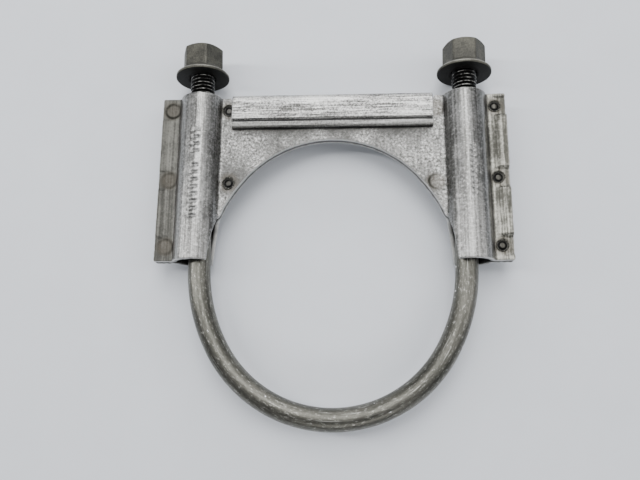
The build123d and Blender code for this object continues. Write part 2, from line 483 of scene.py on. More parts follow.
# %% [markdown]
# ## The pressed plates: relief
#
# Welding leaves the relief that makes such a plate look real. Where a plate had a pip,
# the electrode leaves a round dimple with a flat core. The other plate only shows a
# shallow flat mark there. The thin strips are pinched together at each weld and stand a
# little proud between them. Such clamps also carry stamped marks on the tubes, so a plain
# row of bars and a plain row of dots are pressed in, which say nothing. `relief` gives the
# height of all this over the flat sheet.

# %% Plain stamped marks
STAMP_DEPTH = 0.34 * MM
BARS = (*range(8), *range(9, 13))
FIRST_BAR = 11.887
BAR_STEP = 2.905
DOTS = range(10)
FIRST_DOT = 20.0
DOT_STEP = 2.1
DOT_X = TUBE_X + 1.0 * MM


def tally(x, y):
    """Depth, 0 to 1, of two plain rows of marks: bars on one tube, dots on the other.

    The bars are a whole number of the mesh's rows apart, so that they come out alike.
    """
    depth = 0.0
    across = 1 - fade(np.abs(x + TUBE_X), 1.1 * MM, 1.7 * MM)
    for number in BARS:
        away = np.abs(y - (FIRST_BAR + BAR_STEP * number) * MM)
        depth = np.maximum(depth, across * (1 - fade(away, 0.40 * MM, 0.78 * MM)))
    for number in DOTS:
        away = np.hypot(x - DOT_X, y - (FIRST_DOT + DOT_STEP * number) * MM)
        depth = np.maximum(depth, 1 - fade(away, 0.35 * MM, 0.85 * MM))
    return depth


print("stamped marks:", len(BARS), "bars and", len(DOTS), "dots")


# %% Relief of the outer face
DIMPLE = 2.3 * MM
DIMPLE_DEPTH = 0.75 * MM
DIMPLE_CORE = 1.35 * MM
CORE_LIFT = 0.45 * MM
MARK_DEPTH = 0.10 * MM


def relief(x, y, seed):
    """Height of a plate's outer face above its plain section."""
    height = 0.05 * MM * ripple(x, y, 14 * MM, seed) + 0.02 * MM * ripple(x, y, 3 * MM, seed + 1)
    for spot_x, spot_y in PIP_SPOTS:
        away = np.hypot(x - spot_x * MM, y - spot_y * MM)
        ring = 1 - fade(away, DIMPLE - 0.35 * MM, DIMPLE + 0.15 * MM)
        core = 1 - fade(away, DIMPLE_CORE - 0.25 * MM, DIMPLE_CORE + 0.2 * MM)
        height = height - DIMPLE_DEPTH * ring + CORE_LIFT * core
        mark = np.hypot(x + spot_x * MM, y - spot_y * MM)
        height = height - MARK_DEPTH * (1 - fade(mark, 2.4 * MM, 3.5 * MM))
    return height - STAMP_DEPTH * tally(x, y)


ring_place = np.array([[PIP_SPOTS[1][0] - 1.7], [PIP_SPOTS[1][1]]]) * MM
print("height in a dimple's ring:", round(relief(*ring_place, 11)[0] / MM, 2), "mm")


# %% Spring of the strips
SPRING_PIP_SIDE = 1.35 * MM
SPRING_MARK_SIDE = 0.25 * MM


def strip_lift(x, y, seed):
    """How far a strip springs out between its welds. The pip side springs more."""
    pinched = 0.0
    for _, spot_y in PIP_SPOTS[:3]:
        pinched = np.maximum(pinched, 1 - fade(np.abs(y - spot_y * MM), 3.3 * MM, 4.4 * MM))
    ends = np.maximum(fade(y, 58.5 * MM, 61 * MM), fade(-y, 0.5 * MM, 3 * MM))
    outwards = fade(np.abs(x), TUBE_X + bend_reach, HALF_WIDTH - 2.2 * MM) * (1 - 0.65 * ends)
    spring = np.where(x > 0, SPRING_PIP_SIDE, SPRING_MARK_SIDE)
    return outwards * (1 - pinched) * spring * (1 + 0.3 * ripple(x, y, 20 * MM, seed + 2))


between_welds = np.array([[HALF_WIDTH / MM], [42.0]]) * MM
print("strip stands proud by", round(strip_lift(*between_welds, 11)[0] / MM, 2), "mm")

# %% [markdown]
# ## The pressed plates: mesh
#
# The outer and inner faces are two grids over the same outline, set in a little from
# the cut edge. Five rings of points carry the surface round that edge, so the sheet has
# a real thickness and a soft, slightly ragged rim. The columns lie closer where the
# welds and the mouth need them. Each point keeps three values for the finish: whether it
# is on the cut edge, inside the clamp, or in a stamped mark.

# %% Columns, rows and the rounded rim
RIM = 0.4 * MM
RIM_TURNS = (30, 60, 90)


def spaced(stops):
    """Places from (start, end, step) stretches, in mm, without repeats."""
    parts = [np.arange(start, end, step) for start, end, step in stops]
    return np.append(np.concatenate(parts), stops[-1][1])


half_columns = spaced([
    (0, 36, 1.5), (36, 38, 0.6), (38, 46, 0.3), (46, 49.8, 0.24), (49.95, 50, 1),
    (50.65, 67.6, 0.55),
    (67.6, HALF_PATH / MM - 0.8, 0.32), (HALF_PATH / MM - 0.8, HALF_PATH / MM, 0.16),
])
columns = MM * np.concatenate([-half_columns[:0:-1], half_columns])
heights = spaced([
    (PLATE_BOTTOM / MM, 3.6, 0.35), (3.6, 10.0, 0.8), (10.0, 46.6, 0.42),
    (46.6, 54.2, 0.9), (54.2, PLATE_TOP / MM, 0.35),
])
rows = (heights - heights[0]) / (heights[-1] - heights[0])


def mitred(loop):
    """Outward direction at each point of a closed loop, longer at a corner."""
    forward = np.roll(loop, -1, axis=0) - loop
    forward /= np.linalg.norm(forward, axis=1)[:, None]
    normal = np.stack([forward[:, 1], -forward[:, 0]], axis=1)
    before = np.roll(normal, 1, axis=0)
    mean = normal + before
    return mean / np.maximum(1 + np.sum(normal * before, axis=1), 0.5)[:, None]


def plate_outline():
    """The blank's closed outline, anticlockwise from its lower left corner."""
    low = np.stack([columns, lower_edge(columns)], axis=1)
    high = np.stack([columns, upper_edge(columns)], axis=1)
    right = low[-1] + rows[1:-1, None] * (high[-1] - low[-1])
    left = high[0] + rows[1:-1, None] * (low[0] - high[0])
    return np.vstack([low, right, high[::-1], left])


outline = plate_outline()
print("outline:", len(outline), "points, plate:", len(columns), "columns by", len(rows), "rows")


# %% One plate
def plate_points(place, depth, seed, outer):
    """Points in space for places on the blank. depth is how far below the face they lie."""
    x, z, face_x, face_z = section(place[:, 0])
    y = place[:, 1]
    off = SHEET / 2 - depth + strip_lift(x, y, seed)
    if outer:
        off = off + relief(x, y, seed) * (1 - depth / (SHEET / 2))
    return np.stack([x + face_x * off, y, z + face_z * off], axis=1)


def plate_mesh(seed):
    """Points, faces, and the edge, inside and stamp values of one plate, facing up."""
    ragged = 0.05 * MM * ripple(outline[:, 0], outline[:, 1], 2.2 * MM, seed + 5)
    out = mitred(outline)
    inset = outline - out * RIM
    count, lines = len(columns), len(rows)
    low, high = inset[:count], inset[count + lines - 2:2 * count + lines - 2][::-1]
    face = low[None] + rows[:, None, None] * (high - low)[None]
    number = np.arange(lines * count).reshape(lines, count)
    border = np.concatenate([number[0], number[1:-1, -1], number[-1][::-1], number[-2:0:-1, 0]])
    flat = face.reshape(-1, 2)
    points, edge, inside, faces = [], [], [], [grid_faces(lines, count)]

    def add(place, depth, outer, mark):
        """One more block of points. Gives the number of its first point."""
        first = sum(len(block) for block in points)
        points.append(plate_points(place, depth, seed, outer))
        edge.append(np.full(len(place), mark))
        inside.append(np.full(len(place), float(not outer)))
        return first

    add(flat, 0.0, True, 0.0)
    last = border
    for turn in (*RIM_TURNS, *RIM_TURNS[::-1]):
        reach = sin(radians(turn))
        sunk = (1 - cos(radians(turn))) * RIM
        outer = len(edge) <= len(RIM_TURNS)
        place = inset + out * (reach * RIM + ragged[:, None] * reach)
        ring = add(place, sunk if outer else SHEET - sunk, outer, reach) + np.arange(len(place))
        faces.append(ring_faces(ring, last))
        last = ring
    first = add(flat, SHEET, False, 0.0)
    faces.append(ring_faces(first + border, last))
    faces.append(first + grid_faces(lines, count)[:, ::-1])
    values = {"edge": np.concatenate(edge), "inside": np.concatenate(inside)}
    values["stamp"] = 0 * values["edge"]
    values["stamp"][:len(flat)] = tally(section(flat[:, 0])[0], flat[:, 1])
    return np.vstack(points), np.vstack(faces), values


front_points, plate_faces, plate_values = plate_mesh(seed=11)
back_points, _, _ = plate_mesh(seed=47)
back_points = back_points * np.array([-1.0, 1.0, -1.0])
print("one plate:", len(front_points), "points,", len(plate_faces), "faces")

# %% [markdown]
# ## Bare steel
#
# The pressings are bare mild steel, rolled, pressed and handled. Three things make it
# read as that and not as plain grey: a fine grainy speckle from the rolling scale, whose
# brightest specks are painted glints, soft patches of handling, and marks from heat.
# Around each weld the steel has run through straw and brown to a dull dark grey. `near`
# measures the distance to each weld, and the colour follows it. Cut edges are brighter,
# because the shear has laid bare new metal, and a painted highlight adds to that. Painted
# shade darkens the inner faces and each weld's dimple.

# %% Nearness to a weld, what its heat leaves, and painted shade in its dimple
def near(finish, place, spots, reach):
    """1 at a weld and 0 beyond reach, for the nearest of the spots."""
    flat = finish.vector("MULTIPLY", place, (1, 1, 0))
    total = None
    for x, y in spots:
        away = finish.vector("DISTANCE", flat, (x * MM, y * MM, 0)).out("Value")
        here = away.rise(reach, 0.0)
        total = here if total is None else total.at_least(here)
    return total


def heat_coats_and_shade(steel, place, turned, patches, speckle):
    """What welding leaves: straw, a dark ring and burnt scale, and painted shade in each dimple."""
    pips = [(turned * x, y) for x, y in PIP_SPOTS]
    marks = [(-turned * x, y) for x, y in PIP_SPOTS]
    warm = near(steel, place, pips + marks, 7.0 * MM)
    scorch = (warm + 0.7 * patches + 0.25 * speckle).rise(0.72, 1.15)
    ring = near(steel, place, marks, 4.6 * MM)
    ring = ring.rise(0.04, 0.26) * ring.rise(0.62, 0.30)
    burnt = near(steel, place, pips, 4.0 * MM).rise(0.12, 0.5)
    # Painted shade in each weld dimple, lighter on its raised core.
    dimple_shade = near(steel, place, pips, 2.5 * MM).rise(0.02, 0.3)
    core = near(steel, place, pips, 1.5 * MM).rise(0.05, 0.5)
    return (
        ((0.075, 0.064, 0.050, 1), scorch * 0.45),
        (grey(0.015, 0.15), ring * (patches + 0.4 * speckle).rise(0.52, 0.86)),
        (grey(0.05, 0.08), burnt * (0.35 + 0.5 * speckle)),
        (grey(0.012), dimple_shade * (1 - 0.75 * core)),
    )


print("each plate has", 2 * len(PIP_SPOTS), "places that were heated")


# %% Dirt, oil and painted shade by zone
def dirt_and_shade_coats(steel, place, light, patches):
    """What lies on the web and on the strips, the painted shadow under the cap's lip, and where the
    strips are.
    """
    apart = steel.node("ShaderNodeSeparateXYZ", None, {0: place})
    across = apart.out("X")
    strip_from, strip_to = TUBE_X + 7.9 * MM, TUBE_X + 9.2 * MM
    web = across.size().rise(WEB_FLAT + 1.5 * MM, WEB_FLAT - 1.0 * MM)
    strip = across.size().rise(strip_from, strip_to)
    oiled = across.rise(-strip_from, -strip_to)
    worn = (0.5 * light + 0.7 * patches).rise(0.36, 0.82)
    # Painted shadow on the web below the cap's lip, darkest at the lip.
    lip = apart.out("Y").rise(cap_low.y - 6.0 * MM, cap_low.y + 0.5 * MM)
    lip = lip * across.size().rise(CAP_HALF + 0.5 * MM, CAP_HALF - 3.0 * MM)
    coats = (
        (grey(0.06, 0.04), web * patches.rise(0.34, 0.66) * 0.85),
        (steel.blend(grey(0.075, 0.14), grey(0.38, 0.10), worn), strip * 0.85),
        (grey(0.045, 0.05), oiled * 0.74),
        # Painted shadow under the cap's lip.
        (grey(0.035, 0.05), lip * (0.45 + 0.7 * patches)),
    )
    return coats, strip


# %% Steel of the plates
def plate_steel(name, turned):
    """Bare pressed steel. turned is -1 for the plate whose pips are mirrored."""
    steel = Finish(name)
    place = steel.place()
    across = steel.node("ShaderNodeSeparateXYZ", None, {0: place}).out("X")
    speckle = steel.noise(place, 1050.0, 5.0, 0.7)
    patches = steel.noise(place, 62.0, 5.0, 0.65)
    formed = across.size().rise(WEB_FLAT, WEB_FLAT + 2 * MM)
    grain = steel.drawn(place, (1300, 16, 1300), 3.0, 0.5) * formed + speckle * (1 - formed)
    light = (0.30 * speckle + 0.28 * patches + 0.50 * grain).rise(0.38, 0.72)
    dirt_and_shade, strip = dirt_and_shade_coats(steel, place, light, patches)
    edge = steel.attribute("edge")
    colour = steel.coated(
        steel.blend(grey(0.11, 0.05), grey(0.42, 0.02), light),
        # Bright specks: painted glints, fainter on the tubes.
        (grey(0.64, 0.01), speckle.rise(0.52, 0.66) * (0.80 - 0.40 * formed)),
        (grey(0.035, 0.04), speckle.rise(0.46, 0.34) * (0.80 - 0.55 * formed)),
        *dirt_and_shade,
        *heat_coats_and_shade(steel, place, turned, patches, speckle),
        # Cut edges: bright new metal from the shear, lifted further by a painted highlight.
        (grey(0.62, 0.03), edge.rise(0.15, 0.7) * (0.45 + 0.9 * speckle)),
        (grey(0.05), steel.attribute("stamp") * 0.35),
        # Inner faces: painted shade, nearly black.
        (grey(0.03, 0.1), steel.attribute("inside") * 0.9),
    )
    rough = 0.22 + 0.16 * patches + 0.10 * speckle + 0.10 * strip
    bumps = steel.bump(speckle, 0.16 * MM, 0.5)
    bumps = steel.bump(grain, 0.14 * MM, 0.4, bumps)
    # Less metallic on the cut edges, so that their painted highlight shows under any lamp.
    metal = 0.96 - 0.30 * edge
    return steel.surface(Base_Color=colour, Metallic=metal, Roughness=rough, Normal=bumps)


for side, turned, places in (("front", 1, front_points), ("back", -1, back_points)):
    finish = plate_steel("plate_steel_" + side, turned)
    plate = make_piece("saddle_plate_" + side, places, plate_faces, finish, plate_values)
    put_on(plate, "saddle", "saddle_" + side)

# %% [markdown]
# ## Cap
#
# A strip of the same sheet is folded into a channel and crimped over the top edge of
# the web. Its section is a hairpin: up one side, round the fold and down the other, with
# a pressed line near each lip that bites on the web. The hairpin is drawn once as a
# closed outline and run along X. Both ends are sawn square, with soft corners.

# %% Section of the cap
CAP_THICK = cap_high.z
FOLD = 2.7 * MM
LIP = 1.0 * MM
GROOVE = 0.7 * MM
GROOVE_Y = 52.4 * MM
CROWN = 0.12 * MM
SEAM = 0.05 * MM


def arc(y, z, radius, start, end, count):
    """Points of an arc about (y, z), by angles in degrees from +Y towards +Z."""
    turns = np.radians(np.linspace(start, end, count))
    return [(y + radius * cos(turn), z + radius * sin(turn)) for turn in turns]


def cap_outline():
    """(y, z) of the hairpin's outline, anticlockwise from the front lip's inner corner."""
    inner_top = cap_high.y - SHEET
    shoulder = cap_high.y - FOLD
    half = [(cap_low.y, SHEET)]
    half += arc(cap_low.y + LIP, CAP_THICK - LIP, LIP, 180, 90, 6)
    half.append((GROOVE_Y - 1.3 * GROOVE, CAP_THICK))
    half += arc(GROOVE_Y, CAP_THICK, GROOVE, -180, 0, 9)
    half.append((GROOVE_Y + 1.3 * GROOVE, CAP_THICK))
    for y in np.linspace(GROOVE_Y + 1.5 * MM, shoulder - 0.5 * MM, 8):
        half.append((y, CAP_THICK + CROWN * sin(pi * (y - GROOVE_Y) / (shoulder - GROOVE_Y))))
    half += arc(shoulder, CAP_THICK - FOLD, FOLD, 90, 0, 9)
    inner = [(inner_top, -SHEET + SEAM), (inner_top, SHEET - SEAM)]
    return np.array(half + [(y, -z) for y, z in half[::-1]] + inner)


hairpin = cap_outline()
print("the cap's section has", len(hairpin), "points")


# %% Run the section along X and close the ends
END_ROUND = 0.35 * MM


def cap_mesh():
    """Points, faces and the edge and groove values of the cap."""
    along = spaced([(-CAP_HALF / MM + 0.35, CAP_HALF / MM - 0.35, 0.8)]) * MM
    away = -mitred(hairpin)
    ends = [(sin(radians(t)), 1 - cos(radians(t))) for t in (90, 60, 30)]
    profile = [(-CAP_HALF + END_ROUND * (1 - a), END_ROUND * b, 1.0) for a, b in ends]
    profile += [(x, 0.0, 0.0) for x in along]
    profile += [(-x, shrink, mark) for x, shrink, mark in profile[2::-1]]
    rings, edge = [], []
    for x, shrink, mark in profile:
        place = hairpin - away * shrink
        wave = 0.04 * MM * ripple(np.full(len(place), x), place[:, 0], 6 * MM, 7) * (1 - mark)
        y = place[:, 0] + 0.5 * wave
        z = place[:, 1] + np.sign(place[:, 1]) * wave
        rings.append(np.stack([np.full(len(place), x), y, z], axis=1))
        edge.append(np.full(len(place), mark))
    points = np.vstack(rings)
    count = len(hairpin)
    faces = [tuple(f[::-1]) for f in grid_faces(len(rings), count, 0, True)]
    last = (len(rings) - 1) * count
    faces += [tuple(range(count)), tuple(last + n for n in range(count - 1, -1, -1))]
    groove = np.exp(-(((points[:, 1] - GROOVE_Y) / (0.6 * MM)) ** 2))
    return points, faces, {"edge": np.concatenate(edge), "groove": groove}


cap_points, cap_faces, cap_values = cap_mesh()
print("the cap has", len(cap_points), "points")

# %% [markdown]
# The cap is the brightest piece. It was slid along the press tool and rubbed by hands,
# so its grain runs lengthwise. The noise is drawn out a hundred times along X to give
# those fine parallel scratches. The pressed line and the lower part of each face are
# darkened as painted shade.

# %% Steel of the cap
def cap_steel():
    steel = Finish("cap_steel_brushed")
    place = steel.place()
    scratch = steel.drawn(place, (60, 2600, 2600), 4.0, 0.65)
    speckle = steel.noise(place, 1300.0, 4.0, 0.75)
    patches = steel.drawn(place, (40, 160, 160))
    light = (0.55 * scratch + 0.45 * speckle + 0.35 * patches).rise(0.57, 0.79)
    along_y = steel.node("ShaderNodeSeparateXYZ", None, {0: place}).out("Y")
    # The lower part of each face, towards the lip, is darkened as painted shade.
    lip = along_y.rise(GROOVE_Y + 3.5 * MM, cap_low.y + 0.4 * MM)
    colour = steel.coated(
        steel.blend(grey(0.06, 0.04), grey(0.70, 0.02), light),
        (grey(0.10, 0.05), lip * (0.40 + 0.6 * patches)),
        # The pressed line: painted shade, almost black.
        (grey(0.02), steel.attribute("groove").rise(0.30, 0.9) * 0.95),
        (grey(0.85), steel.attribute("edge") * 0.6),
    )
    rough = 0.24 + 0.2 * patches + 0.12 * speckle
    bumps = steel.bump(scratch, 0.14 * MM, 0.6)
    bumps = steel.bump(speckle, 0.16 * MM, 0.5, bumps)
    return steel.surface(Base_Color=colour, Metallic=0.95, Roughness=rough, Normal=bumps)


cap = make_piece("cap_channel", cap_points, cap_faces, cap_steel(), cap_values)
put_on(cap, "saddle", "saddle_cap")

# %% [markdown]
# ## Rod: the line that it follows
#
# The rod is one length of round steel. Its bow is three arcs that run into each other:
# a bottom arc that fits the pipe and a wider one on each side, which end in two legs
# that spread a little. The line is laid out here as points along those arcs. The points
# lie very close together where the thread will be, because the thread is shaped on them.

# %% Centre line of the rod
rod_low, rod_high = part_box("u_bolt")
ROD = 4.3 * MM
CREST = rod_high.z
PITCH = 1.5 * MM
THREAD = 46.0 * MM
SPREAD = radians(1.8)
FOOT = np.array([50.8, -8.0]) * MM
BOW_RADIUS = PIPE_RADIUS + ROD
BOW_Y = rod_low.y + BOW_RADIUS + ROD
TIP_Y = 83.8 * MM

foot_rise = FOOT[1] - BOW_Y
side_radius = (FOOT[0] ** 2 + foot_rise**2 - BOW_RADIUS**2) / (
    2 * (FOOT[0] * cos(SPREAD) - foot_rise * sin(SPREAD) - BOW_RADIUS)
)
side_centre = FOOT + side_radius * np.array([-cos(SPREAD), sin(SPREAD)])
join = atan2(BOW_Y - side_centre[1], -side_centre[0])
leg_length = (TIP_Y - FOOT[1]) / cos(SPREAD)


def right_half():
    """Points from the bottom of the bow up to the right tip."""
    step = 1.2 * MM
    bottom = np.arange(-pi / 2, join, step / BOW_RADIUS)
    side = np.arange(join, -SPREAD, step / side_radius)
    arcs = [np.stack([BOW_RADIUS * np.cos(bottom), BOW_Y + BOW_RADIUS * np.sin(bottom)], axis=1)]
    arcs.append(side_centre + side_radius * np.stack([np.cos(side), np.sin(side)], axis=1))
    plain = np.arange(0, leg_length - THREAD - 1.5 * MM, step)
    fine = np.arange(leg_length - THREAD - 1.5 * MM, leg_length, PITCH / 9)
    reach = np.append(np.concatenate([plain, fine]), leg_length)
    arcs.append(FOOT + reach[:, None] * np.array([sin(SPREAD), cos(SPREAD)]))
    return np.vstack(arcs)


half_line = right_half()
rod_line = np.vstack([(half_line * np.array([-1, 1]))[:0:-1], half_line])
print("rod line:", len(rod_line), "points, side arcs of", round(side_radius / MM, 1), "mm")

# %% [markdown]
# ## Rod: a thread by Geometry Nodes
#
# A circle is carried along the line to make the rod. Then each point is moved in or out
# from the line by a rule. Round the rod and along it, the rule repeats once per pitch
# and turns as it goes, which is a screw thread. Near a tip it narrows to a chamfer and
# at the other end it fades into the plain rod. The tree has a named input for each size,
# so the same tree would make any studded rod.

# %% Start and end of a geometry tree
def new_tree(name, sizes):
    """A maker for a tree with named inputs, and those inputs. sizes gives their kinds."""
    tree = bpy.data.node_groups.new(name, "GeometryNodeTree")
    tree.interface.new_socket("Geometry", in_out="OUTPUT", socket_type="NodeSocketGeometry")
    for key, kind in {"Geometry": "Geometry", **sizes, "Material": "Material"}.items():
        tree.interface.new_socket(key, in_out="INPUT", socket_type="NodeSocket" + kind)
    maker = Maker(tree)
    return maker, maker.node("NodeGroupInput").out


def end_tree(maker, skin, material):
    """Smooth shading, real meshes in place of copies, and the material."""
    smooth = maker.node("GeometryNodeSetShadeSmooth", None, {"Geometry": skin})
    real = maker.node("GeometryNodeRealizeInstances", None, {"Geometry": smooth})
    sockets = {"Geometry": real, "Material": material}
    painted = maker.node("GeometryNodeSetMaterial", None, sockets)
    maker.node("NodeGroupOutput", None, {"Geometry": painted})
    print(maker.tree.name, "is a tree of", len(maker.tree.nodes), "nodes")
    return maker.tree


def store(maker, geometry, name, value, kind="FLOAT"):
    """Keeps a value on each point under a name."""
    sockets = {"Geometry": geometry, "Name": name, "Value": value}
    return maker.node("GeometryNodeStoreNamedAttribute", {"data_type": kind}, sockets)


def stored(maker, name, kind="FLOAT"):
    return maker.node("GeometryNodeInputNamedAttribute", {"data_type": kind}, {"Name": name})


# %% The tube, whose points remember how far along and round it they are
def rod_tube(maker, given):
    spline = maker.node("GeometryNodeSplineParameter")
    line = maker.node(
        "GeometryNodeSetCurveNormal", {"mode": "Z_UP"}, {"Curve": given("Geometry")}
    )
    line = store(maker, line, "along", spline.out("Length"))
    position = maker.node("GeometryNodeInputPosition")
    line = store(maker, line, "axis_point", position, "FLOAT_VECTOR")
    sockets = {"Resolution": given("Sides"), "Radius": given("Rod Radius")}
    circle = maker.node("GeometryNodeCurvePrimitiveCircle", None, sockets)
    circle = store(maker, circle, "around", spline.out("Factor"))
    sockets = {"Curve": line, "Profile Curve": circle, "Fill Caps": True}
    return maker.node("GeometryNodeCurveToMesh", None, sockets)


# %% The rule of the thread
def thread_rule(maker, given):
    """Height of the ridge, share of plain rod, and radius, for each point of the tube."""
    crest = given("Crest Radius")
    along = stored(maker, "along")
    total = maker.node("GeometryNodeCurveLength", None, {0: given("Geometry")})
    to_tip = along.at_most(total - along)
    phase = along / given("Pitch") - stored(maker, "around")
    ridge = (2.0 * phase.calc("FRACT") - 1.0).size()
    ridge = (1.3 * ridge - 0.1).at_least(0.0).at_most(1.0)
    threaded = crest - given("Thread Depth") * (1.0 - ridge)
    threaded = threaded.at_most(crest - given("Tip Chamfer") + to_tip)
    runout = given("Thread Length") - given("Pitch") * 1.6
    plain = to_tip.rise(runout, given("Thread Length"))
    return ridge, plain, threaded * (1.0 - plain) + given("Rod Radius") * plain


# %% The threaded rod tree
def threaded_rod_tree():
    sizes = ("Rod Radius", "Crest Radius", "Thread Depth", "Pitch", "Thread Length", "Tip Chamfer")
    maker, given = new_tree("threaded_rod", {**dict.fromkeys(sizes, "Float"), "Sides": "Int"})
    skin = rod_tube(maker, given)
    ridge, plain, radius = thread_rule(maker, given)
    axis = stored(maker, "axis_point", "FLOAT_VECTOR")
    outward = maker.vector("SUBTRACT", maker.node("GeometryNodeInputPosition"), axis)
    outward = maker.vector("NORMALIZE", outward)
    sockets = {0: outward, "Scale": radius}
    reach = maker.node("ShaderNodeVectorMath", {"operation": "SCALE"}, sockets)
    sockets = {"Geometry": skin, "Position": maker.vector("ADD", axis, reach)}
    skin = maker.node("GeometryNodeSetPosition", None, sockets)
    # What the finish needs: crest or root, and a place on the rod as if it were straight.
    skin = store(maker, skin, "thread_share", 1.0 - plain)
    skin = store(maker, skin, "thread_ridge", ridge * (1.0 - plain))
    spin = stored(maker, "around") * (2 * pi)
    straight = maker.node("ShaderNodeCombineXYZ", None, {
        0: spin.calc("COSINE") * given("Rod Radius"),
        1: spin.calc("SINE") * given("Rod Radius"),
        2: stored(maker, "along"),
    })
    skin = store(maker, skin, "straight_place", straight, "FLOAT_VECTOR")
    return end_tree(maker, skin, given("Material"))


rod_tree = threaded_rod_tree()


# %% Run a tree on an object and keep the result as a plain mesh
def grown(name, base, tree, sizes):
    """The mesh that a tree makes from base, as a new object. base is removed."""
    modifier = base.modifiers.new("grow", "NODES")
    modifier.node_group = tree
    for item in tree.interface.items_tree:
        if item.item_type == "SOCKET" and item.in_out == "INPUT" and item.name in sizes:
            modifier[item.identifier] = sizes[item.name]
    bpy.context.view_layer.update()
    result = base.evaluated_get(bpy.context.evaluated_depsgraph_get())
    mesh = bpy.data.meshes.new_from_object(result)
    base.modifiers.clear()
    bpy.data.objects.remove(base)
    mesh.name = name
    print(name, "has", len(mesh.polygons), "faces")
    return linked(name, mesh)


print("inputs to set:", [i.name for i in rod_tree.interface.items_tree if i.in_out == "INPUT"])


# %% [markdown]
# ## Rod: finish
#
# The rod is drawn bar, darker and browner than the sheet, with a thin film of oil. Its
# marks run lengthwise, even round the bow, so the noise isn't read in space but from a
# place on the rod as if it were straight, which the tree has stored. A few bright nicks
# show where it has knocked against others. Fine bright specks on the bar are painted
# glints. The thread is near black, with painted glints in patches on its crests.

# %% Steel of the rod
def rod_steel():
    steel = Finish("rod_steel_dark")
    place = steel.attribute("straight_place", "Vector")
    streak = steel.drawn(place, (1100, 1100, 60), 4.0, 0.6)
    fine = steel.noise(steel.vector("MULTIPLY", place, (1, 1, 0.4)), 1500.0, 4.0, 0.7)
    patches = steel.noise(place, 60.0, 3.0)
    light = (0.30 * streak + 0.45 * fine + 0.35 * patches).rise(0.36, 0.76)
    scratch = steel.drawn(place, (1900, 1900, 60), 2.0, 0.5).rise(0.66, 0.74)
    nick = steel.noise(place, 420.0, 2.0, 0.5).rise(0.73, 0.77)
    crest = steel.attribute("thread_ridge").rise(0.86, 1.0)
    crest_glints = crest * steel.noise(place, 520.0, 3.0).rise(0.42, 0.66)
    colour = steel.coated(
        steel.blend(grey(0.065, 0.11), grey(0.175, 0.11), light),
        # Fine bright specks on the bar: painted glints.
        (grey(0.50, 0.05), fine.rise(0.56, 0.68) * 0.6),
        (grey(0.55, 0.05), scratch * 0.5),
        (grey(0.85), nick),
        # Thread: near black, with painted glints in patches on its crests.
        (steel.blend(grey(0.008, 0.05), grey(0.60, 0.04), crest_glints), steel.attribute("thread_share")),
    )
    rough = 0.26 + 0.14 * patches + 0.12 * fine
    bumps = steel.bump(streak, 0.08 * MM, 0.3)
    bumps = steel.bump(fine, 0.10 * MM, 0.4, bumps)
    return steel.surface(Base_Color=colour, Metallic=0.85, Roughness=rough, Normal=bumps)


# %% Grow the rod on its line
rod_curve = bpy.data.curves.new("rod_line", "CURVE")
rod_curve.dimensions = "3D"
spline = rod_curve.splines.new("POLY")
spline.points.add(len(rod_line) - 1)
for point, (x, y) in zip(spline.points, rod_line):
    point.co = (x, y, 0.0, 1.0)
rod = grown("bent_rod", linked("rod_line", rod_curve), rod_tree, {
    "Rod Radius": ROD,
    "Crest Radius": CREST - 0.01 * MM,
    "Thread Depth": 0.92 * MM,
    "Pitch": PITCH,
    "Thread Length": THREAD,
    "Tip Chamfer": 0.9 * MM,
    "Sides": 64,
    "Material": rod_steel(),
})
put_on(rod, "u_bolt", "u_bolt")

# %% [markdown]
# ## Nuts
#
# A flange nut is a hexagon with a washer face forged on. Seen from above, its outline
# at each height is a hexagon, a circle, or a hexagon cut by a cone, so one formula gives
# the radius at every angle and height. Soft minimum and maximum join those shapes, which
# leaves the small rounded edges that forging leaves. The points lie closer at the six
# corners. A `wear_and_shade` value marks the edges, where the black finish is rubbed off,
# and with values below 0 it paints shade, near black, under the flange and in the bore.

# %% Nut shape
NUT_HEIGHT = 12.8 * MM
FLATS = 15.0 * MM
FLANGE = 10.8 * MM
FLANGE_RIM = 1.4 * MM
FLANGE_HEIGHT = 3.4 * MM
HEX_AT_FLANGE = 8.0 * MM
BORE = 4.935 * MM
SINK = 0.6 * MM
TOP_RADIUS = 7.2 * MM
CORNERS = 8.52 * MM
CHAMFER = radians(30)
SEAT_Y = 72.3 * MM


def soft_min(a, b, blend):
    """The smaller of two lengths, with the crossing rounded over about blend."""
    share = np.clip(0.5 + 0.5 * (b - a) / blend, 0, 1)
    return b + (a - b) * share - blend * share * (1 - share)


def nut_angles(per_side=30):
    """Angles round the nut, closer together at the corners. A flat faces angle 0."""
    share = (np.arange(per_side) + 0.5) / per_side * 2 - 1
    within = np.sign(share) * (1 - (1 - np.abs(share)) ** 1.7) * pi / 6
    return np.concatenate([within + side * pi / 3 for side in range(6)])


def hexagon(angle):
    """Distance from the axis to the hexagon's side at this angle."""
    from_flat = (angle + pi / 6) % (pi / 3) - pi / 6
    return FLATS / 2 / np.cos(from_flat), np.abs(from_flat) / (pi / 6)


